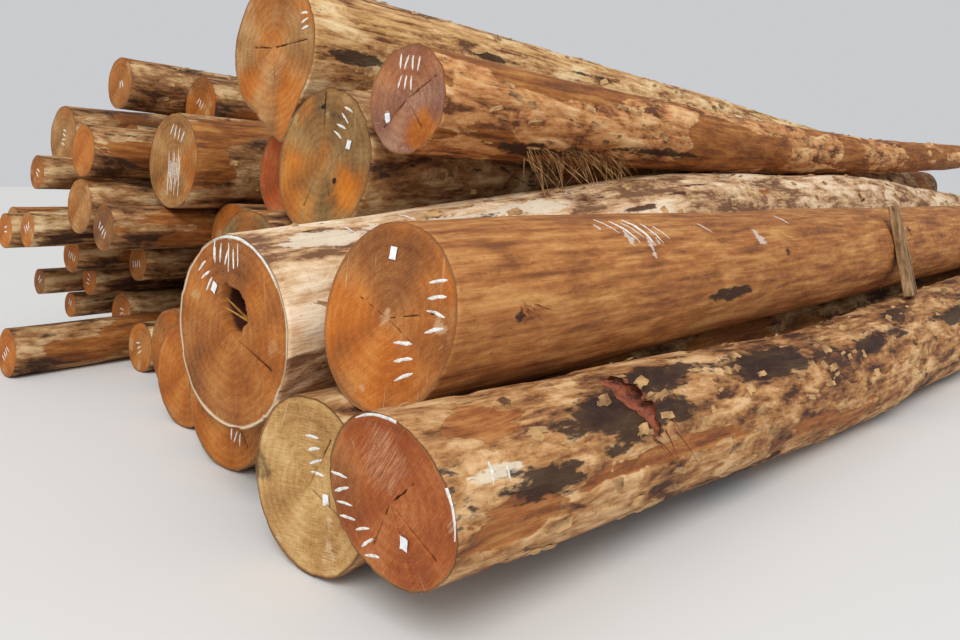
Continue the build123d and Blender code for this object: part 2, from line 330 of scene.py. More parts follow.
def dressedPiece(node, points, faces, marks, material):  # takes the place of its solid
    made = meshPiece(node + "_wood", points.tolist(), faces, material)
    for attribute, values in marks.items():
        kind, field = ("FLOAT_VECTOR", "vector") if values.ndim == 2 else ("FLOAT", "value")
        layer = made.data.attributes.new(attribute, kind, "POINT")
        layer.data.foreach_set(field, values.astype(np.float32).ravel())
    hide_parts(node)
    return made


def dressLog(node, look, material):
    stem = Stem(node, look["fin"])
    around = look["around"]
    angle = np.linspace(0, 2 * math.pi, around, endpoint=False)
    cosine, sine = np.cos(angle), np.sin(angle)
    shares = gradedShares(stem.length, *look["steps"])
    nearY, nearZ, nearRadius = stem.centre(stem.near[0])
    farY, farZ, farRadius = stem.centre(stem.far[0])
    nearReach = nearRadius + stem.finReach(np.full(around, stem.near[0]), angle)
    startX = stem.cutX(nearY + nearReach * cosine, nearZ + nearReach * sine)
    endX = stem.cutX(farY + farRadius * cosine, farZ + farRadius * sine, far=True)
    x = startX + (endX - startX) * shares[:, None]
    centreY, centreZ, radius = stem.centre(x)
    turn = np.broadcast_to(angle, x.shape)
    along = x - stem.near[0]
    relief, barrelMarks = barrelRelief({
        "local": np.stack([along, radius * cosine, radius * sine], -1),
        "angle": turn, "radius": radius, "along": along, "long": stem.length,
    }, look)
    whole = radius + stem.finReach(x, turn) + relief
    points, localPoints, marks = [], [], {}

    def keep(x, middleY, middleZ, offY, offZ, newMarks, onFace):
        points.append(np.stack([x, middleY + offY, middleZ + offZ], -1).reshape(-1, 3))
        localPoints.append(np.stack([x - stem.near[0], offY, offZ], -1).reshape(-1, 3))
        for key, value in {**newMarks, "face": np.full(x.shape, onFace)}.items():
            marks.setdefault(key, []).append(value.ravel())

    keep(x, centreY, centreZ, whole * cosine, whole * sine, barrelMarks, 0.0)
    faces = []
    for i in range(len(shares) - 1):
        faces += ringFaces(i * around, (i + 1) * around, around)
    count = len(shares) * around
    for isFar in (False, True):
        steps = look["capRings"] // 3 if isFar else look["capRings"]
        parts = np.linspace(1, 0, steps + 1)[1:-1] ** 0.85
        parts = np.concatenate([[0.985], parts[parts < 0.97]])
        rim, side, middle = (whole[-1], 1, (farY, farZ)) if isFar else (whole[0], -1, (nearY, nearZ))
        rings = parts[:, None] * rim
        heart = np.zeros(1)
        for offY, offZ, reach, fade in (
                (rings * cosine, rings * sine, rim, smooth(1.0, 0.94, parts)[:, None]),
                (heart, heart, rim.mean(), 1.0)):
            out, capMarks = capRelief(offY, offZ, reach, look)
            capX = stem.cutX(middle[0] + offY, middle[1] + offZ, far=isFar) + side * out * fade
            keep(capX, *middle, offY, offZ, capMarks, 1.0)
        ring = (len(shares) - 1) * around if isFar else 0
        for _ in parts:
            faces += ringFaces(ring, count, around, not isFar)
            ring, count = count, count + around
        faces += fanFaces(ring, count, around, not isFar)
        count += 1
    everyMark = {key: np.concatenate(values) for key, values in marks.items()}
    everyMark["grain"] = np.concatenate(localPoints)
    return dressedPiece(node, np.concatenate(points), faces, everyMark, material), stem


# materials

def tint(red, green, blue):  # screen colour, 0 to 255, to a linear one
    def straighten(value):
        value /= 255
        return value / 12.92 if value < 0.04045 else ((value + 0.055) / 1.055) ** 2.4
    return (straighten(red), straighten(green), straighten(blue), 1.0)


class Finish:  # wires up the nodes of one material
    def __init__(self, name):
        self.material = bpy.data.materials.new(name)
        self.material.use_nodes = True
        self.tree = self.material.node_tree
        self.shader = self.tree.nodes["Principled BSDF"]
        self.shader.inputs["Specular IOR Level"].default_value = 0.28

    def add(self, kind, **inputs):
        node = self.tree.nodes.new(kind)
        for key, value in inputs.items():
            self.feed(node.inputs[key], value)
        return node

    def feed(self, socket, value):
        if isinstance(value, bpy.types.NodeSocket):
            self.tree.links.new(value, socket)
        else:
            socket.default_value = value

    def attribute(self, name, vector=False):
        node = self.tree.nodes.new("ShaderNodeAttribute")
        node.attribute_name = name
        return node.outputs["Vector" if vector else "Fac"]

    def noise(self, place, scale, stretch=(1, 1, 1), detail=4.0, rough=0.55, distortion=0.0):
        placed = self.add("ShaderNodeMapping", Vector=place, Scale=stretch).outputs[0]
        node = self.add("ShaderNodeTexNoise", Vector=placed, Scale=scale, Detail=detail,
                        Roughness=rough, Distortion=distortion)
        return node.outputs["Fac"]

    def maths(self, operation, a, b=0.0):
        node = self.tree.nodes.new("ShaderNodeMath")
        node.operation = operation
        self.feed(node.inputs[0], a)
        self.feed(node.inputs[1], b)
        return node.outputs[0]

    def total(self, *parts):  # each part a value and its weight
        result = None
        for value, weight in parts:
            scaled = value if weight == 1 else self.maths("MULTIPLY", value, weight)
            result = scaled if result is None else self.maths("ADD", result, scaled)
        return result

    def centred(self, value):
        return self.maths("SUBTRACT", value, 0.5)

    def spread(self, value, low, high, start=0.0, end=1.0):
        node = self.tree.nodes.new("ShaderNodeMapRange")
        node.interpolation_type = "SMOOTHSTEP"
        for index, item in enumerate((value, low, high, start, end)):
            self.feed(node.inputs[index], item)
        return node.outputs[0]

    def mix(self, amount, a, b):
        node = self.tree.nodes.new("ShaderNodeMix")
        node.data_type = "RGBA"
        self.feed(node.inputs[0], amount)
        self.feed(node.inputs[6], a)
        self.feed(node.inputs[7], b)
        return node.outputs[2]

    def ramp(self, value, places, colours):
        node = self.tree.nodes.new("ShaderNodeValToRGB")
        self.feed(node.inputs[0], value)
        elements = node.color_ramp.elements
        while len(elements) < len(places):
            elements.new(0.5)
        for element, place, colour in zip(elements, places, colours):
            element.position = place
            element.color = tint(*colour)
        return node.outputs[0]

    def bump(self, height, distance, strength):
        node = self.add("ShaderNodeBump", Height=height, Distance=distance, Strength=strength)
        self.feed(self.shader.inputs["Normal"], node.outputs[0])


def logFinish(name, hue):
    finish = Finish(name)
    place = finish.attribute("grain", vector=True)
    bark, dark = finish.attribute("bark"), finish.attribute("dark")
    pale, warm, face = finish.attribute("pale"), finish.attribute("warm"), finish.attribute("face")
    # crack: the dark colour that dirt, specks and painted shade are mixed toward
    chalk, crack, scuffed, rim = (tint(*hue[key]) for key in ("chalk", "crack", "scuffed", "rim"))
    blotch = finish.noise(place, 1.0, (2.4, 6.5, 6.5), 7, 0.66, 0.5)
    streak = finish.noise(place, 1.0, (2.2, 26.0, 26.0), 4, 0.62)
    chip = finish.noise(place, 1.0, (16.0, 44.0, 44.0), 4, 0.6, 0.3)
    fine = finish.noise(place, 1.0, (14.0, 130.0, 130.0), 2, 0.6)
    speck = finish.noise(place, 60.0, (0.6, 1, 1), 3)
    # the barrel: torn layers of bark over bare wood, with dirt and painted shade in the cracks
    barkTone = finish.total((blotch, 0.62), (streak, 0.22), (chip, 0.16), (finish.centred(warm), 0.10))
    barkColour = finish.ramp(barkTone, (0.415, 0.465, 0.525, 0.60), hue["bark"])
    woodTone = finish.total((streak, 0.5), (blotch, 0.35), (chip, 0.15))
    woodColour = finish.ramp(woodTone, (0.40, 0.50, 0.62), hue["wood"])
    barkEdge = finish.spread(finish.total((bark, 1), (finish.centred(blotch), 2.0)), 0.44, 0.54)
    torn = finish.total((finish.centred(streak), 1), (finish.centred(chip), 1.6))
    chalked = finish.spread(finish.total((pale, 1), (torn, 1)), 0.42, 0.72, 0.0, 0.8)
    # dirt, and painted shade in the cracks, from the dark mask and the torn streaks
    dirtAndShade = finish.spread(finish.total((dark, 1), (torn, 1)), 0.38, 0.78, 0.0, 0.92)
    barrel = finish.mix(barkEdge, woodColour, barkColour)
    barrel = finish.mix(chalked, barrel, chalk)
    barrel = finish.mix(dirtAndShade, barrel, crack)
    barrel = finish.mix(finish.spread(speck, 0.6, 0.72, 0.0, 0.35), barrel, crack)
    # the sawn face: growth rings, stains, saw lines, and checks darkened with painted shade
    split = finish.add("ShaderNodeSeparateXYZ", Vector=place)
    flatY, flatZ = split.outputs[1], split.outputs[2]
    away = finish.maths("SQRT", finish.total((finish.maths("MULTIPLY", flatY, flatY), 1),
                                             (finish.maths("MULTIPLY", flatZ, flatZ), 1)))
    flatPlace = finish.add("ShaderNodeCombineXYZ", X=0.0, Y=flatY, Z=flatZ).outputs[0]
    wobble = finish.noise(flatPlace, 4.0, detail=4)
    cloud = finish.noise(flatPlace, 5.0, detail=5, rough=0.55)
    grit = finish.noise(flatPlace, 60.0, detail=5, rough=0.7)
    ringPlace = finish.total((away, 1), (wobble, 0.05))
    rings = finish.maths("SINE", finish.maths("MULTIPLY", ringPlace, hue["ringCount"]))
    wideRings = finish.maths("SINE", finish.maths("MULTIPLY", ringPlace, hue["ringCount"] * 0.27))
    turned = finish.add("ShaderNodeMapping", Vector=flatPlace, Rotation=(hue["sawTurn"], 0, 0)).outputs[0]
    scratch = finish.noise(turned, 1.0, (1.0, 9.0, 150.0), 5, 0.65)
    askew = (hue["sawTurn"] + 1.1, 0, 0)
    crossed = finish.add("ShaderNodeMapping", Vector=flatPlace, Rotation=askew).outputs[0]
    scored = finish.noise(crossed, 1.0, (1.0, 2.2, 62.0), 2, 0.5, 0.6)
    faceTone = finish.total((cloud, 0.5), (scratch, 0.25), (grit, 0.27), (rings, 0.012), (wideRings, 0.018))
    cool = finish.ramp(faceTone, (0.36, 0.50, 0.66), hue["face"])
    warmed = finish.ramp(faceTone, (0.34, 0.50, 0.68), hue["warm"])
    scuff = finish.total((pale, 1), (finish.centred(scratch), 1.6))
    edge = finish.total((bark, 1), (finish.centred(wobble), 0.06))
    # painted shade in the checks and the rotten hollow, with dark stains, from the dark mask
    shadeAndStain = finish.total((dark, 1), (finish.centred(streak), 0.5))
    sawn = finish.mix(warm, cool, warmed)
    for amount, colour in (
            (finish.spread(scuff, 0.4, 0.95, 0.0, hue["scuff"]), scuffed),
            (finish.spread(scored, 0.66, 0.72, 0.0, 0.5), scuffed),
            (finish.spread(edge, 0.955, 0.985), rim),
            (finish.spread(shadeAndStain, 0.3, 0.7), crack)):
        sawn = finish.mix(amount, sawn, colour)
    finish.feed(finish.shader.inputs["Base Color"], finish.mix(face, barrel, sawn))
    finish.feed(finish.shader.inputs["Roughness"], finish.spread(streak, 0.3, 0.7, 0.7, 0.92))
    height = finish.tree.nodes.new("ShaderNodeMix")
    finish.feed(height.inputs[0], face)
    finish.feed(height.inputs[2], finish.total((barkTone, 2.2), (fine, 0.3), (barkEdge, 0.35), (streak, 0.5)))
    finish.feed(height.inputs[3], finish.total((scratch, 0.5), (rings, 0.03)))
    finish.bump(height.outputs[0], hue["bump"], 0.9)
    return finish.material


plainHue = {
    "bark": ((66, 42, 28), (122, 82, 48), (164, 120, 76), (206, 174, 128)),
    "wood": ((102, 58, 28), (150, 90, 40), (186, 130, 70)),
    "face": ((94, 54, 26), (142, 88, 42), (178, 124, 68)),
    "warm": ((128, 66, 20), (172, 96, 30), (202, 134, 64)), "chalk": (222, 208, 184), "crack": (44, 27, 20),
    "scuffed": (200, 162, 116), "scuff": 0.5, "rim": (138, 94, 54), "ringCount": 520.0, "sawTurn": 0.6,
    "bump": 0.009,
}
plainLook = {
    "seed": 1, "around": 96, "steps": (0.05, 0.11, 4.0), "capRings": 22, "swell": 0.014, "furrow": 0.014,
    "grain": 0.0025, "plateScale": (1.6, 7.0, 7.0), "plateDepth": 0.006, "barkShare": 0.2, "barkDepth": 0.007,
    "reach": 0.014, "warmShare": 0.0, "sawTurn": 25, "fin": False,
    **dict.fromkeys(("bare", "dark", "pale", "knots", "hollows", "checks", "patches"), ()),
}

# each large log: what its relief and its colours change from the plain ones
largeLogs = {
    "front_floor_log": {
        "slot": "mottled_bark_log",
        "look": {
            "seed": 11, "around": 168, "steps": (0.022, 0.076, 4.5), "capRings": 46, "barkShare": 0.75,
            "plateDepth": 0.01, "barkDepth": 0.014, "swell": 0.022, "furrow": 0.02, "warmShare": 0.35,
            "sawTurn": 55,
            # dark patches; the last two, at 250 and 260 degrees, lie on the underside and make it darker
            "dark": ((1.05, 140, 0.6, 0.2), (1.35, 112, 0.5, 0.14), (2.6, 124, 0.8, 0.15),
                (3.8, 130, 0.9, 0.15), (0.5, 168, 0.35, 0.1), (5.5, 140, 0.8, 0.13), (7.6, 120, 0.9, 0.14),
                (9.4, 150, 0.8, 0.14), (2.0, 250, 1.2, 0.2), (6.0, 260, 1.5, 0.2)),
            "pale": ((0.22, 153, 0.16, 0.03),),
            "bare": ((1.3, 175, 0.8, 0.07), (0.3, 190, 0.4, 0.16), (3.0, 200, 1.4, 0.12),
                (0.25, 120, 0.3, 0.12)),
            "knots": ((1.12, 140, 0.16, 0.02), (4.4, 150, 0.13, 0.015), (8.1, 170, 0.15, 0.015)),
            "hollows": ((1.1, 128, 0.2, 0.03),),
            "patches": ((0.02, 0.14, 0.2, "rough", 1), (0.25, 0.02, 0.12, "warm", 0.2),
                (-0.1, -0.2, 0.2, "warm", 0.9)),
            "checks": ((250, 0.95, 0.003), (215, 0.8, 0.003), (300, 0.7, 0.003), (140, 0.6, 0.002)),
        },
        "hue": {
            "bark": ((70, 44, 30), (130, 84, 49), (178, 128, 78), (216, 176, 128)),
            "wood": ((112, 62, 32), (156, 94, 48), (190, 136, 80)),
            "face": ((98, 54, 28), (136, 80, 40), (172, 114, 64)),
            "warm": ((124, 58, 26), (160, 84, 38), (194, 124, 70)), "sawTurn": 0.9,
            "scuffed": (214, 176, 140),
        },
    },
    "second_floor_log": {
        "slot": "yellow_wood_log",
        "look": {
            "seed": 23, "around": 144, "steps": (0.035, 0.11, 3.0), "capRings": 36, "barkShare": 0.1,
            "warmShare": -0.4, "sawTurn": 80, "patches": ((0.33, 0.0, 0.14, "dark", 0.5),),
            "checks": ((200, 0.9, 0.003), (120, 0.7, 0.003)),
        },
        "hue": {
            "face": ((140, 96, 52), (186, 142, 84), (220, 186, 128)),
            "warm": ((120, 74, 38), (164, 112, 60), (204, 156, 98)), "sawTurn": 0.1,
            "scuffed": (228, 204, 160),
        },
    },
    "third_floor_log": {
        "slot": "brown_log",
        "look": {
            "seed": 37, "around": 144, "steps": (0.042, 0.12, 3.0), "capRings": 32, "warmShare": 0.4,
            "checks": ((230, 0.8, 0.003), (160, 0.7, 0.003), (20, 0.8, 0.003)),
        },
        "hue": {},
    },
    "smooth_log": {
        "slot": "barked_red_log",
        "look": {
            "seed": 51, "around": 168, "steps": (0.022, 0.076, 4.5), "capRings": 50, "barkShare": -0.75,
            "swell": 0.014, "furrow": 0.006, "grain": 0.002, "barkDepth": 0.002, "warmShare": 0.05,
            "sawTurn": 10,
            "pale": ((1.28, 132, 0.05, 0.16), (1.42, 138, 0.04, 0.18), (1.12, 122, 0.03, 0.12),
                (1.5, 128, 0.03, 0.14), (2.6, 140, 0.04, 0.1)),
            "dark": ((0.35, 178, 0.06, 0.03), (2.1, 190, 0.3, 0.05)),
            "knots": ((0.36, 176, 0.07, 0.004), (2.9, 160, 0.12, 0.01), (5.3, 150, 0.14, 0.012)),
            "patches": ((0.0, -0.2, 0.24, "warm", 0.95), (0.0, 0.2, 0.22, "warm", 0.1),
                (-0.2, 0.0, 0.12, "warm", 0.5), (0.0, 0.06, 0.1, "pale", 0.35)),
            "checks": ((205, 0.85, 0.0012), (222, 0.7, 0.001), (170, 0.7, 0.0012), (20, 0.8, 0.001)),
        },
        "hue": {
            "wood": ((118, 70, 36), (164, 104, 54), (198, 146, 86)),
            "face": ((100, 60, 32), (138, 86, 44), (172, 122, 74)),
            "warm": ((142, 74, 20), (182, 100, 32), (208, 138, 66)), "chalk": (206, 190, 178),
            "bump": 0.005, "scuffed": (218, 182, 140),
        },
    },
    "arched_log": {
        "slot": "pale_bark_log",
        "look": {
            "seed": 67, "around": 160, "steps": (0.026, 0.076, 4.5), "capRings": 54, "barkShare": 0.5,
            "plateScale": (1.1, 6.0, 6.0), "plateDepth": 0.01, "swell": 0.018, "furrow": 0.016,
            "patches": ((-0.017, 0.11, 0.115, "rot", 0.26), (0.0, -0.1, 0.3, "warm", 0.5)),
            "checks": ((300, 0.8, 0.003), (200, 0.8, 0.003), (240, 0.7, 0.003)),
            "dark": ((3.3, 132, 0.5, 0.02), (2.9, 140, 0.3, 0.02), (3.8, 122, 0.35, 0.02)),
            "pale": ((0.5, 118, 0.6, 0.12), (1.8, 120, 1.0, 0.1)),
        },
        "hue": {
            "bark": ((120, 84, 58), (182, 140, 100), (216, 182, 142), (236, 214, 184)),
            "face": ((100, 58, 28), (146, 88, 42), (180, 126, 70)), "crack": (66, 28, 16),
            "rim": (216, 196, 162),
        },
    },
    "olive_log": {
        "slot": "brown_log",
        "look": {"seed": 71, "around": 120, "steps": (0.055, 0.14, 3.0), "capRings": 28, "warmShare": -0.3},
        "hue": {"face": ((84, 62, 36), (124, 96, 56), (160, 132, 84))},
    },
    "brown_log": {
        "slot": "brown_log",
        "look": {
            "seed": 83, "around": 144, "steps": (0.034, 0.096, 4.0), "capRings": 42, "warmShare": -0.35,
            "sawTurn": 120,
            "patches": ((-0.24, -0.14, 0.17, "warm", 1.0), (0.24, -0.24, 0.22, "warm", 0.7),
                (-0.13, -0.1, 0.03, "dark", 0.8), (0.046, 0.319, 0.02, "dark", 1.0),
                (-0.18, 0.37, 0.06, "pale", 0.8)),
            "checks": ((85, 0.95, 0.004), (245, 0.5, 0.003), (300, 0.7, 0.003)),
        },
        "hue": {
            "face": ((88, 62, 36), (132, 98, 56), (168, 134, 84)),
            "warm": ((150, 80, 24), (196, 112, 26), (216, 146, 62)),
        },
    },
    "propping_log": {
        "slot": "brown_log",
        "look": {"seed": 97, "around": 120, "steps": (0.055, 0.14, 3.0), "capRings": 28, "warmShare": 0.5},
        "hue": {"warm": ((128, 66, 20), (172, 78, 32), (200, 116, 64))},
    },
    "splintered_log": {
        "slot": "brown_log",
        "look": {
            "seed": 103, "around": 144, "steps": (0.026, 0.074, 4.0), "capRings": 38, "barkShare": 0.05,
            "plateScale": (1.3, 8.0, 8.0), "plateDepth": 0.011, "furrow": 0.024, "swell": 0.018,
            "warmShare": -0.4, "sawTurn": 70, "patches": ((-0.12, -0.17, 0.14, "warm", 1.0),),
            "checks": ((150, 0.8, 0.003), (230, 0.7, 0.003), (320, 0.8, 0.003)),
            # darker patches on the lower side, the first where the torn fibres hang
            "dark": ((1.0, 232, 0.6, 0.08), (2.4, 215, 0.8, 0.05)),
        },
        "hue": {
            "bark": ((98, 58, 34), (172, 112, 64), (206, 148, 92), (228, 186, 134)),
            "face": ((104, 66, 54), (142, 98, 78), (178, 138, 112)), "scuffed": (204, 178, 156),
            "scuff": 0.7, "sawTurn": 2.2,
        },
    },
    "crown_log": {
        "slot": "yellow_wood_log",
        "look": {
            "seed": 113, "fin": True, "around": 160, "steps": (0.026, 0.076, 4.5), "capRings": 46,
            "barkShare": 0.25, "plateScale": (1.3, 6.5, 6.5), "plateDepth": 0.011, "furrow": 0.02,
            "swell": 0.02, "warmShare": -0.1,
            "patches": ((0.0, -0.1, 0.22, "pale", 0.6), (-0.2, -0.28, 0.16, "warm", 1.0),
                (0.25, -0.2, 0.14, "warm", 1.0)),
            "checks": ((176, 0.9, 0.004), (5, 0.5, 0.003), (262, 0.6, 0.003)),
            "dark": ((0.35, 186, 0.35, 0.07), (1.6, 160, 0.5, 0.04), (3.0, 150, 0.7, 0.04)),
            "bare": ((0.6, 160, 0.7, 0.14), (2.4, 140, 1.0, 0.12)),
        },
        "hue": {
            "bark": ((104, 68, 44), (176, 126, 78), (212, 172, 118), (234, 208, 162)),
            "wood": ((102, 58, 28), (196, 148, 92), (228, 192, 138)),
            "face": ((116, 76, 42), (160, 114, 66), (196, 158, 108)),
            "warm": ((142, 74, 22), (184, 106, 36), (208, 144, 74)),
        },
    },
}
hiddenLogs = ("fourth_floor_log", "fifth_floor_log", "buried_log")

built = {}
for node, piece in largeLogs.items():
    look = {**plainLook, **piece["look"]}
    hue = {**plainHue, **piece["hue"]}
    built[node] = dressLog(node, look, logFinish(node + "_finish", hue))
    print("dressed", node)

# the smaller logs share a few finishes
smallHues = [
    {"face": ((94, 54, 26), (156, 98, 46), (178, 124, 68)),
     "warm": ((128, 66, 20), (180, 104, 40), (202, 134, 64))},
    {"face": ((112, 72, 38), (160, 112, 62), (196, 154, 102))},
    {"face": ((84, 52, 30), (122, 78, 42), (158, 112, 66))},
    {"bark": ((66, 42, 28), (122, 82, 48), (180, 146, 100), (214, 190, 150)),
     "face": ((94, 54, 26), (170, 128, 76), (178, 124, 68))},
]
smallFinishes = [
    logFinish(f"small_log_finish_{i + 1}", {**plainHue, **hue}) for i, hue in enumerate(smallHues)]
smallLook = {
    **plainLook, "around": 56, "steps": (0.10, 0.26, 3.0), "capRings": 10, "swell": 0.006, "furrow": 0.006,
    "plateDepth": 0.005,
}
innerLook = {**smallLook, "around": 32, "steps": (0.3, 0.5, 3.0), "capRings": 5}
for node in sorted(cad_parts):
    if node in hiddenLogs:
        look, choice = {**plainLook, "around": 60, "steps": (0.14, 0.25, 3.0), "capRings": 12}, 2
    elif node.startswith("small_log"):
        look, choice = smallLook, int(node[-2:]) * 7 % 4
    elif node.startswith("inner_log"):
        look, choice = innerLook, 2
    else:
        continue
    seed = 200 + sum(ord(letter) for letter in node) * 3
    look = {**look, "seed": seed, "warmShare": latticeValue(seed, 1, 2, 3) * 0.9 - 0.35}
    built[node] = dressLog(node, look, smallFinishes[choice])
print("dressed the smaller logs")

# the loose wedge
wedgePiece = {
    "seed": 131, "rows": 62, "across": 26, "deep": 9, "wobble": 0.004, "furrow": 0.003, "wane": 0.012}


def endRing(corners):  # the corners of one end, in turn: left back, right back, right front, left front
    fromBack = sorted(corners.tolist(), key=lambda place: -place[1])
    return np.array([*sorted(fromBack[:2]), *sorted(fromBack[2:], reverse=True)])


def dressWedge(node, piece, material):
    seed = piece["seed"]
    corners = np.unique(np.round([tuple(v.co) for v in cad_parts[node].data.vertices], 5), axis=0)
    corners = corners[np.argsort(corners[:, 2])]
    foot, top = endRing(corners[:4]), endRing(corners[4:])
    around = []
    for side in range(4):
        steps = piece["deep"] if side % 2 else piece["across"]
        around += [(side, step / steps) for step in range(steps)]
    count = len(around)
    rows = []
    for share in np.linspace(0, 1, piece["rows"]):
        four = foot + (top - foot) * share
        for side, part in around:
            place = four[side] + (four[(side + 1) % 4] - four[side]) * part
            rows.append((*place, *(place - four.mean(0)), abs(part - 0.5) * 2))
    place, out, corner = np.split(np.array(rows), (3, 6), axis=1)
    start, end = foot.mean(0), top.mean(0)
    along = (end - start) / np.linalg.norm(end - start)
    wide = (foot[1] - foot[0]) / np.linalg.norm(foot[1] - foot[0])
    local = (place - start) @ np.stack([along, wide, np.cross(along, wide)], -1)
    relief = layered(local * (3.0, 26.0, 26.0), 3, seed) * piece["wobble"]
    relief -= np.abs(layered(local * (2.0, 60.0, 60.0), 2, seed + 5)) * piece["furrow"]
    waned = smooth(0.7, 1.0, corner[:, 0]) * piece["wane"]
    relief -= waned * (0.4 + 0.6 * np.abs(noise(local * 9, seed + 3)))
    flat = out / np.linalg.norm(out, axis=1)[:, None]
    points = place + flat * relief[:, None]
    everyPoint, everyLocal, faces = [points], [local], []
    for i in range(piece["rows"] - 1):
        faces += ringFaces(i * count, (i + 1) * count, count)
    total = len(points)
    for ring, sign in ((0, -1), (total - count, 1)):
        rim, rimLocal = points[ring:ring + count], local[ring:ring + count]
        heart, heartLocal = rim.mean(0), rimLocal.mean(0)
        for share in (0.75, 0.5, 0.25):
            everyPoint.append(heart + (rim - heart) * share + along * sign * 0.002)
            everyLocal.append(heartLocal + (rimLocal - heartLocal) * share)
            faces += ringFaces(ring, total, count, sign < 0)
            ring, total = total, total + count
        everyPoint.append(heart[None])
        everyLocal.append(heartLocal[None])
        faces += fanFaces(ring, total, count, sign < 0)
        total += 1
    everyPoint, everyLocal = np.concatenate(everyPoint), np.concatenate(everyLocal)
    bark = smooth(0.0, 0.3, layered(local * (2.0, 12.0, 12.0), 3, seed + 11))
    marks = {
        "grain": everyLocal, "bark": np.concatenate([bark, np.zeros(total - len(bark))]),
        "dark": smooth(0.1, 0.5, layered(everyLocal * (3.0, 18.0, 18.0), 3, seed + 17)) * 0.6,
        "pale": smooth(0.055, 0.075, everyLocal[:, 1] + 0.02 * everyLocal[:, 0]),
        "warm": np.full(total, 0.4), "face": np.zeros(total),
    }
    first, second, third = (everyPoint[[face[i] for face in faces[:count - 1]]] for i in range(3))
    if (np.cross(second - first, third - first) * flat[:count - 1]).sum() < 0:
        faces = [face[::-1] for face in faces]
    return dressedPiece(node, everyPoint, faces, marks, material)


wedgeFinish = logFinish("loose_wedge_finish", {
    **plainHue, "bark": ((80, 54, 34), (122, 92, 62), (156, 124, 86), (200, 164, 120)),
    "wood": ((86, 60, 38), (136, 104, 70), (176, 142, 102)), "chalk": (206, 168, 112),
})
dressWedge("loose_wedge", wedgePiece, wedgeFinish)
print("finished the wedge")


# tags, paint and torn fibres

def plainFinish(name, dark, light, scale, bump, rough=0.8):
    finish = Finish(name)
    place = finish.tree.nodes.new("ShaderNodeTexCoord").outputs["Object"]
    spread = finish.noise(place, scale, detail=6, rough=0.65)
    finish.feed(finish.shader.inputs["Base Color"], finish.ramp(spread, (0.36, 0.62), (dark, light)))
    finish.shader.inputs["Roughness"].default_value = rough
    finish.bump(finish.noise(place, scale * 3, detail=4), bump, 0.7)
    return finish.material


paintFinish = plainFinish("log_paint", (196, 192, 184), (240, 238, 232), 60.0, 0.001)
tagFinish = plainFinish("tag_card", (214, 216, 220), (244, 246, 248), 26.0, 0.0006, 0.5)
fibreFinish = plainFinish("torn_fibres", (112, 72, 40), (212, 168, 112), 14.0, 0.002)
flapFinish = plainFinish("curled_bark", (72, 40, 30), (166, 92, 62), 18.0, 0.005)
flakeFinish = plainFinish("bark_flakes", (96, 62, 40), (204, 162, 108), 7.0, 0.004)


class FaceReader:  # finds places on a log's dressed surface
    def __init__(self, node):
        made, self.stem = built[node]
        self.tree = surfaceTree(made.data)

    def place(self, aside, above, lift):  # a place on the near sawn face, from its heart
        y, z = self.stem.near[1] + aside, self.stem.near[2] + above
        start = Vector((self.stem.cutX(y, z) - 0.3, y, z))
        hit, normal = self.tree.ray_cast(start, Vector((1, 0, 0)), 1.2)[:2]
        if hit is None or hit.x > start.x + 0.36:
            return None
        return hit + normal * lift

    def wall(self, along, angle, lift):  # a place on the barrel, from the near end and the heart
        x = self.stem.near[0] + along
        y, z, radius = self.stem.centre(x)
        ray = outward(math.radians(angle))
        heart = Vector((x, y, z))
        hit = self.tree.ray_cast(heart + ray * (radius + 0.4), -ray, 0.6)[0]
        return (hit if hit is not None else heart + ray * radius) + ray * lift


def joinedPiece(name, strips, material, facing=None):  # each strip is a grid of points, as a list of rows
    points, faces = [], []
    for rows in strips:
        if facing is not None:
            middle = len(rows) // 2
            over = (rows[middle][1] - rows[middle][0]).cross(rows[middle][0] - rows[middle - 1][0])
            if over.dot(facing) < 0:
                rows = rows[::-1]
        first, wide = len(points), len(rows[0])
        points.extend(tuple(point) for row in rows for point in row)
        for i in range(len(rows) - 1):
            for a in range(first + i * wide, first + (i + 1) * wide - 1):
                faces.append((a, a + 1, a + wide + 1, a + wide))
    made = meshPiece(name, points, faces, material)
    if facing is None:  # a closed piece: its seams are joined and its faces turned outward
        shell = bmesh.new()
        shell.from_mesh(made.data)
        bmesh.ops.remove_doubles(shell, verts=shell.verts, dist=1e-6)
        bmesh.ops.recalc_face_normals(shell, faces=shell.faces)
        shell.to_mesh(made.data)
        shell.free()
        made.data.update()
    return made


strokeStep = 0.006  # between the rows of points along a stroke


def brushStroke(reader, corners, width, seed):  # a ribbon of paint that follows the sawn face
    corners = np.array(corners, dtype=float)
    runs = np.concatenate([[0], np.cumsum(np.hypot(*np.diff(corners, axis=0).T))])
    length = runs[-1]

    def spot(run):
        return np.array([np.interp(min(max(run, 0), length), runs, corners[:, k]) for k in (0, 1)])

    steps = max(int(length / strokeStep), 3)
    rows = []
    for i in range(steps + 1):
        run = length * i / steps
        way = spot(run + strokeStep) - spot(run - strokeStep)
        way = way / max(np.hypot(*way), 1e-6)
        side = np.array([-way[1], way[0]])
        wobble = noise(np.array([[run * 40, seed * 3.7, 0.0], [run * 40, seed * 3.7, 9.0]]), 7)
        half = width / 2 * min(1, 0.35 + 2.5 * min(i, steps - i) / steps)
        row = []
        for across, lift in ((-1, 0.0002), (-0.6, 0.0016), (0.6, 0.0016), (1, 0.0002)):
            place = spot(run) + side * across * half * (1 + 0.35 * wobble[0 if across < 0 else 1])
            row.append(reader.place(*place, lift))
        if all(point is not None for point in row):
            rows.append(row)
        elif len(rows) > 2:
            break
        else:
            rows = []
    return rows if len(rows) > 2 else None


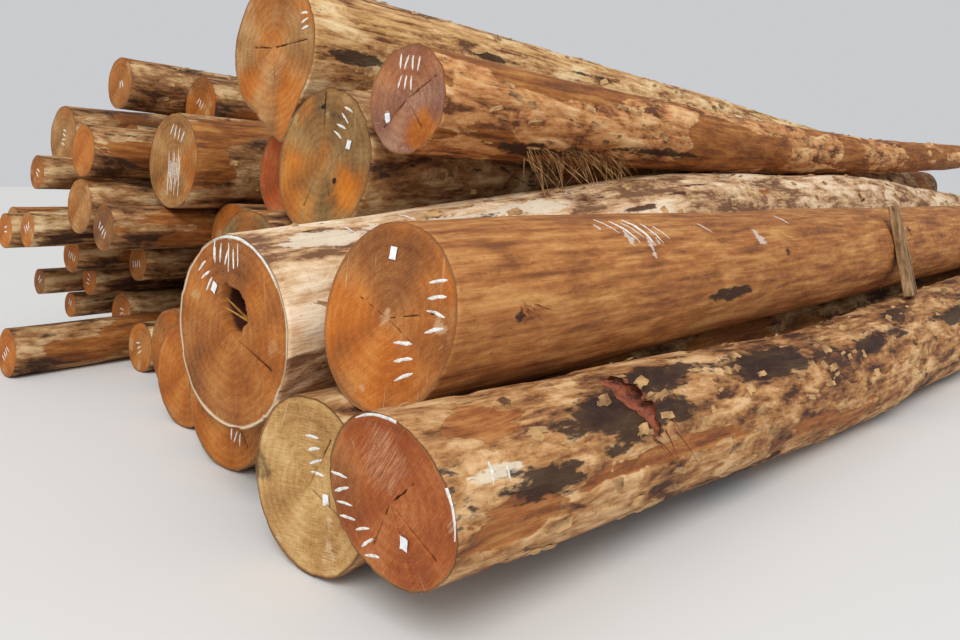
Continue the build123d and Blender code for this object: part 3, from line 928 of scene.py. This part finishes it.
def tally(middle, turn, size, count):  # a row of plain tally strokes
    cosine, sine = math.cos(math.radians(turn)), math.sin(math.radians(turn))
    for i in range(count):
        along = (i - (count - 1) / 2) * size * 0.62
        lean = 0.12 * math.sin(i * 2.3 + middle[0] * 40)
        raw = [(along - lean * size, -size / 2), (along + 0.03 * size, 0), (along + lean * size, size / 2)]
        yield [(middle[0] + a * cosine - b * sine, middle[1] + a * sine + b * cosine) for a, b in raw]


def rimRun(radius, start, end, step=4):  # a run of points just inside the rim
    return [(radius * math.cos(math.radians(angle)), radius * math.sin(math.radians(angle)))
            for angle in range(start, end, step)]


# by log: tags, rows of strokes (middle, turn, stroke height, count), paint along the rim, and drips
faceMarks = {
    "front_floor_log": {
        "tags": ((-0.065, -0.128, 8),), "rim": ((0.300, 62, 132), (0.303, 140, 192)),
        "rows": (((0.245, -0.05), 80, 0.085, 4), ((0.13, -0.19), 65, 0.08, 3)),
    },
    "second_floor_log": {"tags": ((-0.123, -0.022, -6),), "rows": (((-0.04, 0.14), 75, 0.08, 4),)},
    "third_floor_log": {"rows": (((-0.099, -0.217), 10, 0.07, 3),)},
    "smooth_log": {
        "tags": ((0.003, 0.229, 4),),
        "rows": (((-0.262, 0.06), 85, 0.095, 4), ((-0.135, -0.157), 75, 0.1, 3)),
    },
    "arched_log": {
        "tags": ((0.118, 0.19, 30),), "rim": ((0.425, 70, 150),),
        "rows": (((0.05, 0.345), 10, 0.085, 4), ((0.2, 0.24), 50, 0.08, 3)),
        "drips": (
            ((-0.06, 0.40), (-0.062, 0.30)), ((0.01, 0.40), (0.012, 0.27)), ((0.12, 0.37), (0.122, 0.30))),
    },
    "brown_log": {"tags": ((-0.235, 0.095, 12),), "rows": (((-0.16, 0.22), 120, 0.085, 4),)},
    "splintered_log": {
        "tags": ((0.130, -0.093, -5),),
        "rows": (((0.0, 0.185), 8, 0.075, 4), ((0.02, 0.086), 8, 0.07, 3)),
    },
    "crown_log": {"rows": (((-0.313, 0.169), 80, 0.07, 3),)},
}
for node in sorted(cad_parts):
    if node.startswith("small_log") and int(node[-2:]) % 5:
        seed = int(node[-2:])
        middle = (0.02 * math.sin(seed), 0.02 * math.cos(seed * 2))
        faceMarks[node] = {"rows": ((middle, seed * 67 % 180, 0.06, 2 + seed % 3),)}
# small_log_19's face is washed with thin paint
washed = tuple(((0.02 * i - 0.10, 0.03 + 0.05 * math.sin(i * 1.7)),
                (0.02 * i - 0.105, -0.20 - 0.07 * math.cos(i * 2.3))) for i in range(9))
faceMarks["small_log_19"] = {"rows": (((-0.05, 0.2), 20, 0.09, 4),), "drips": washed}
rowWidth, rimWidth, dripWidth = 0.013, 0.012, 0.008
tagHalfWide, tagHalfTall, tagLift, tagCurl = 0.0185, 0.0245, 0.0045, 0.003
tagStrips = []
for node, marks in faceMarks.items():
    reader = FaceReader(node)
    tallest = reader.stem.rows[0][3] * 0.5
    strips = []
    for middle, turn, height, count in marks.get("rows", ()):
        for i, corners in enumerate(tally(middle, turn, min(height, tallest), count)):
            strips.append(brushStroke(reader, corners, rowWidth, i + middle[0] * 9))
    for radius, start, end in marks.get("rim", ()):
        strips.append(brushStroke(reader, rimRun(radius, start, end), rimWidth, radius + start))
    for corners in marks.get("drips", ()):
        strips.append(brushStroke(reader, corners, dripWidth, corners[0][0]))
    strips = [rows for rows in strips if rows]
    if strips:
        joinedPiece(node + "_paint", strips, paintFinish, Vector((-1, 0, 0)))
    for aside, above, turn in marks.get("tags", ()):
        cosine, sine = math.cos(math.radians(turn)), math.sin(math.radians(turn))
        tag = []
        for rise in (-tagHalfTall, -0.3 * tagHalfTall, 0.3 * tagHalfTall, tagHalfTall):
            row = []
            for part in (-1, -0.3, 0.3, 1):
                across = part * tagHalfWide
                right = aside + across * cosine - rise * sine
                top = above + across * sine + rise * cosine
                row.append(reader.place(right, top, tagLift + tagCurl * abs(part)))
            tag.append(row)
        if all(point is not None for row in tag for point in row):
            tagStrips.append(tag)


def wallStroke(reader, along, start, end, width, slant, seed):  # a streak of paint round a barrel
    rows = []
    for part in np.arange(27) / 26:
        angle = start + (end - start) * part
        wobble = noise(np.array([[part * 7, seed * 2.3, 0.5], [part * 7, seed * 2.3, 8.5]]), 19)
        half = width / 2 * math.sin(math.pi * min(part + 0.06, 0.97)) ** 0.6
        middle = along + slant * part + 0.25 * width * wobble[0]
        rows.append([reader.wall(middle + way * half * (1 + 0.5 * wobble[1]), angle, lift)
                     for way, lift in ((-1, 0.0004), (-0.5, 0.0018), (0.5, 0.0018), (1, 0.0004))])
    return rows


# by log: how far along, from and to which angle, width and slant of each streak
barrelStreaks = {
    "smooth_log": (
        (1.18, 108, 128, 0.012, 0.05), (1.27, 112, 138, 0.022, 0.07), (1.34, 116, 134, 0.010, 0.06),
        (1.40, 110, 142, 0.026, 0.06), (1.49, 118, 140, 0.014, 0.05), (1.57, 122, 137, 0.009, 0.05),
        (2.05, 120, 133, 0.010, 0.05), (3.1, 112, 128, 0.012, 0.04)),
    "front_floor_log": ((0.20, 146, 160, 0.014, -0.02), (0.27, 150, 161, 0.010, -0.01)),
    "arched_log": ((0.55, 104, 118, 0.012, 0.03), (0.95, 100, 112, 0.014, 0.04)),
}
for node, streaks in barrelStreaks.items():
    reader = FaceReader(node)
    strips = [wallStroke(reader, *streak, index) for index, streak in enumerate(streaks)]
    joinedPiece(node + "_streaks", strips, paintFinish, Vector((0, -0.7, 0.7)))
joinedPiece("log_tags", tagStrips, tagFinish, Vector((-1, 0, 0)))
print("painted and tagged")


def strand(points, width, seed):  # a split sliver of wood, three-sided and pointed
    rows = []
    last = len(points) - 1
    for i, point in enumerate(points):
        size = width * (1 - (i / last) ** 1.6 * 0.9)
        ahead = (points[min(i + 1, last)] - points[max(i - 1, 0)]).normalized()
        side = ahead.cross(Vector((0.3, 0.2, 1))).normalized()
        over = ahead.cross(side)
        turns = [seed + i * 0.15 + k * 2 * math.pi / 3 for k in range(4)]
        rows.append([point + side * math.cos(turn) * size + over * math.sin(turn) * size * 0.5
                     for turn in turns])
    return rows


def tornFibres(name, node, piece, material):  # a tuft of slivers that stand out of a log's wound
    reader = FaceReader(node)
    strips = []
    for i in range(piece["count"]):
        pick = [latticeValue(i, k, piece["seed"], 5) for k in range(6)]
        along = piece["along"] + (pick[0] - 0.5) * piece["spread"]
        root = reader.wall(along, piece["angle"] + (pick[1] - 0.5) * piece["fan"], -0.006)
        long = piece["long"] * (0.25 + 0.95 * pick[2] ** 3)
        drop = piece["drop"] * (0.3 + 1.2 * pick[5])
        lean = piece["lean"] * (0.2 + 1.3 * pick[3]) - 0.35
        way = Vector((lean, (pick[4] - 0.72) * 0.9, -drop)).normalized()
        points = []
        for part in (k / 8 for k in range(9)):
            stray = Vector((math.sin(part * 3 + i * 2.1), math.sin(part * 5 + i), math.cos(part * 4 + i)))
            sag = Vector((0, 0, -1)) * piece["sag"] * long * part**2
            points.append(root + way * long * part + sag + stray * 0.03 * part * long)
        strips.append(strand(points, 0.002 + 0.005 * pick[1], i))
    joinedPiece(name, strips, material)


tornFibres("splintered_log_fibres", "splintered_log", {
    "seed": 5, "count": 130, "along": 1.35, "spread": 1.1, "angle": 236, "fan": 30, "long": 0.34, "lean": 1.1,
    "drop": 0.5, "sag": 0.3}, fibreFinish)
tornFibres("smooth_log_splinters", "smooth_log", {
    "seed": 9, "count": 26, "along": 0.40, "spread": 0.12, "angle": 172, "fan": 8, "long": 0.11, "lean": 0.9,
    "drop": 0.3, "sag": 0.1}, flapFinish)
tornFibres("front_log_splinters", "front_floor_log", {
    "seed": 13, "count": 60, "along": 1.2, "spread": 0.35, "angle": 140, "fan": 40, "long": 0.13, "lean": 0.7,
    "drop": 0.4, "sag": 0.3}, flapFinish)


def curledFlap(name, node, piece, material):  # a strip of bark that has sprung off and curled
    reader = FaceReader(node)
    rows = []
    for i in range(25):
        part = i / 24
        angle = piece["from"] + (piece["to"] - piece["from"]) * part
        width = piece["wide"] * (0.35 + 0.65 * math.sin(math.pi * min(part * 1.25 + 0.1, 1)))
        width *= 1 + 0.25 * math.sin(i * 1.9)
        rise = piece["lift"] * math.sin(math.pi * part) ** 0.7 * (1 + 0.3 * math.sin(i * 0.9))
        along = piece["along"] + piece["slant"] * part
        row = []
        for across in np.arange(9) / 8:
            lift = 0.002 + rise * across**1.6
            row.append(reader.wall(along + math.sin(across * math.pi * 0.8) * width, angle, lift))
        rows.append(row)
    under = [[point + Vector((0.001, 0, -0.004)) for point in row] for row in reversed(rows)]
    joinedPiece(name, [rows, under], material)


curledFlap("front_log_flap", "front_floor_log",
           {"along": 1.04, "slant": 0.10, "from": 104, "to": 160, "wide": 0.12, "lift": 0.06}, flapFinish)

# the pale splinter that stands across the rotten hollow: where its root is, and each sliver's reach and width
splinter = {"aside": -0.10, "above": 0.05, "deep": 0.05, "forward": 0.075, "bend": 0.012,
            "slivers": ((0.09, 0.12, 0.016), (0.11, 0.07, 0.012), (0.05, 0.10, 0.009))}
stem = built["arched_log"][1]
rootY, rootZ = stem.near[1] + splinter["aside"], stem.near[2] + splinter["above"]
root = Vector((stem.cutX(rootY, rootZ) + splinter["deep"], rootY, rootZ))
slivers = []
for index, (reachY, reachZ, width) in enumerate(splinter["slivers"]):
    spine = []
    for part in (k / 8 for k in range(9)):
        bend = math.sin(part * math.pi) * splinter["bend"]
        spine.append(root + Vector((-splinter["forward"] * part - bend, reachY * part, reachZ * part + bend)))
    slivers.append(strand(spine, width, index))
joinedPiece("arched_log_splinter", slivers,
            plainFinish("yellow_splinter", (140, 88, 34), (214, 160, 72), 20.0, 0.003))
print("torn fibres and flap done")


# flakes of bark, scattered over the barrels by nodes

def flakeTree():
    tree = bpy.data.node_groups.new("bark_flake_scatter", "GeometryNodeTree")
    tree.interface.new_socket("Geometry", in_out="INPUT", socket_type="NodeSocketGeometry")
    for name, kind, value in (
            ("Density", "NodeSocketFloat", 20.0), ("Seed", "NodeSocketInt", 1),
            ("Flake Length", "NodeSocketFloat", 0.09), ("Flake Width", "NodeSocketFloat", 0.04)):
        tree.interface.new_socket(name, in_out="INPUT", socket_type=kind).default_value = value
    tree.interface.new_socket("Geometry", in_out="OUTPUT", socket_type="NodeSocketGeometry")

    def add(kind, links=(), **settings):
        node = tree.nodes.new(kind)
        for key, value in settings.items():
            setattr(node, key, value)
        for socket, value in dict(links).items():
            if isinstance(value, bpy.types.NodeSocket):
                tree.links.new(value, node.inputs[socket])
            else:
                node.inputs[socket].default_value = value
        return node.outputs

    def number(operation, a, b):
        return add("ShaderNodeMath", {0: a, 1: b}, operation=operation)[0]

    def vector(operation, a, b):
        return add("ShaderNodeVectorMath", {0: a, 1: b}, operation=operation)[0]

    def between(low, high):
        limits = {0: low, 1: high, "Seed": given["Seed"]}
        return add("FunctionNodeRandomValue", limits, data_type="FLOAT_VECTOR")[0]

    given = add("NodeGroupInput")
    share = add("GeometryNodeInputNamedAttribute", {"Name": "flaky"}, data_type="FLOAT")[0]
    density = number("MULTIPLY", share, given["Density"])
    scattered = add("GeometryNodeDistributePointsOnFaces", {
        "Mesh": given["Geometry"], "Density": density, "Seed": given["Seed"]})
    standing = add("FunctionNodeAlignRotationToVector", {"Vector": scattered["Normal"]}, axis="Z")[0]
    along = add("FunctionNodeAlignRotationToVector", {"Rotation": standing, "Vector": (1.0, 0.0, 0.0)},
                axis="X", pivot_axis="Z")[0]
    # one flake: a small ragged sheet, lifted at one end
    flake = add("GeometryNodeMeshGrid", {"Size X": 1.0, "Size Y": 1.0, "Vertices X": 5, "Vertices Y": 4})[0]
    spot = add("GeometryNodeInputPosition")[0]
    end = number("ADD", add("ShaderNodeSeparateXYZ", {0: spot})[0], 0.5)
    rise = add("ShaderNodeCombineXYZ", {2: number("POWER", end, 2.2)})[0]
    edge = add("ShaderNodeTexNoise", {"Vector": spot, "Scale": 3.1, "Detail": 2.0})["Color"]
    torn = vector("MULTIPLY", vector("SUBTRACT", edge, (0.5, 0.5, 0.5)), (1.1, 1.1, 0.0))
    shaped = add("GeometryNodeSetPosition", {"Geometry": flake, "Offset": vector("ADD", rise, torn)})[0]
    size = add("ShaderNodeCombineXYZ", {0: given["Flake Length"], 1: given["Flake Width"], 2: 1.0})[0]
    sized = vector("MULTIPLY", between((0.25, 0.3, 0.003), (1.05, 1.05, 0.013)), size)
    placed = add("GeometryNodeInstanceOnPoints", {
        "Points": scattered["Points"], "Instance": shaped, "Rotation": along, "Scale": sized})[0]
    turned = add("GeometryNodeRotateInstances", {
        "Instances": placed, "Rotation": between((0.0, 0.0, -0.3), (0.0, 0.0, 0.3))})[0]
    whole = add("GeometryNodeRealizeInstances", {"Geometry": turned})[0]
    dressed = add("GeometryNodeSetMaterial", {"Geometry": whole, "Material": flakeFinish})[0]
    add("NodeGroupOutput", {"Geometry": dressed})
    return tree


scatter = flakeTree()
sockets = {item.name: item.identifier for item in scatter.interface.items_tree if item.in_out == "INPUT"}
# by log: how many to the square metre, how long and how wide
flakeRuns = {
    "front_floor_log": (34.0, 0.10, 0.05), "arched_log": (22.0, 0.11, 0.05),
    "splintered_log": (40.0, 0.12, 0.035), "crown_log": (24.0, 0.12, 0.05),
    "second_floor_log": (16.0, 0.09, 0.05), "brown_log": (18.0, 0.10, 0.05),
    "third_floor_log": (10.0, 0.09, 0.05), "small_log_24": (70.0, 0.14, 0.05),
    "small_log_19": (30.0, 0.10, 0.04), "small_log_01": (30.0, 0.10, 0.04),
}
for index, (node, (density, long, wide)) in enumerate(flakeRuns.items()):
    carrier = addObject("carrier", built[node][0].data)
    grower = carrier.modifiers.new("flakes", "NODES")
    grower.node_group = scatter
    given = {"Density": density, "Seed": 31 + index, "Flake Length": long, "Flake Width": wide}
    for name, value in given.items():
        grower[sockets[name]] = value
    ready = carrier.evaluated_get(bpy.context.evaluated_depsgraph_get())
    flakes = bpy.data.meshes.new_from_object(ready)
    carrier.modifiers.remove(grower)
    bpy.data.objects.remove(carrier)
    flakes.name = node + "_flakes"
    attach(addObject(node + "_flakes", flakes), "root")

# floor, light and camera

ground, floorSize = boundsBefore[0][2], 90
bpy.ops.mesh.primitive_plane_add(size=floorSize, location=(0, 0, ground))
floor = bpy.context.object
floor.name = "floor"
floorFinish = Finish("floor_finish")
floorFinish.shader.inputs["Base Color"].default_value = (0.72, 0.71, 0.69, 1)
floorFinish.shader.inputs["Roughness"].default_value = 0.9
floor.data.materials.append(floorFinish.material)

world = bpy.data.worlds.new("studio")
bpy.context.scene.world = world
world.use_nodes = True
sky = world.node_tree.nodes["Background"]
sky.inputs["Color"].default_value = (0.95, 0.97, 1.0, 1)
sky.inputs["Strength"].default_value = 0.62


def addLamp(name, kind, place, target, energy, size):
    lamp = bpy.data.lights.new(name, kind)
    lamp.energy = energy
    if kind == "AREA":
        lamp.size = size
    else:
        lamp.angle = size
    holder = addObject(name, lamp)
    holder.location = place
    holder.rotation_euler = (Vector(target) - Vector(place)).to_track_quat("-Z", "Y").to_euler()
    return holder


addLamp("sky_lamp", "SUN", (-9, -7, 12), (0, 0, 0), 1.6, 0.5)
addLamp("front_lamp", "AREA", (-13, -9, 8), (-3, 0, 1), 420, 9)

# the camera stands where the photographer stood, set from the front log's near end
# metres, degrees, and pixels for the focal length and the picture's width
view = {"fromFront": (-1.783, -1.458), "eyeHeight": 1.672, "heading": 42.135, "pitch": 10.239, "roll": 1.106,
        "focal": 863.27, "pictureWidth": 960, "sensor": 36}
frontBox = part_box("front_floor_log")
heading, pitch, roll = (math.radians(view[key]) for key in ("heading", "pitch", "roll"))
level = math.cos(pitch)
forward = Vector((math.cos(heading) * level, math.sin(heading) * level, -math.sin(pitch)))
right = Vector((math.sin(heading), -math.cos(heading), 0))
up = right.cross(forward)
rolledRight = right * math.cos(roll) + up * math.sin(roll)
rolledUp = up * math.cos(roll) - right * math.sin(roll)
lens = bpy.data.cameras.new("photo_camera")
lens.sensor_width = view["sensor"]
lens.lens = view["focal"] * view["sensor"] / view["pictureWidth"]
lens.clip_end = 300
camera = addObject("photo_camera", lens)
camera.rotation_euler = Matrix((rolledRight, rolledUp, -forward)).transposed().to_euler()
camera.location = (*(frontBox[0][i] + view["fromFront"][i] for i in (0, 1)), view["eyeHeight"] + ground)
bpy.context.scene.camera = camera
bpy.context.scene.view_settings.view_transform = "Standard"
print("camera and lights set")

shown = [o for o in bpy.context.scene.objects if o.type == "MESH" and not o.hide_render]
print("triangles", sum(len(p.vertices) - 2 for o in shown for p in o.data.polygons))
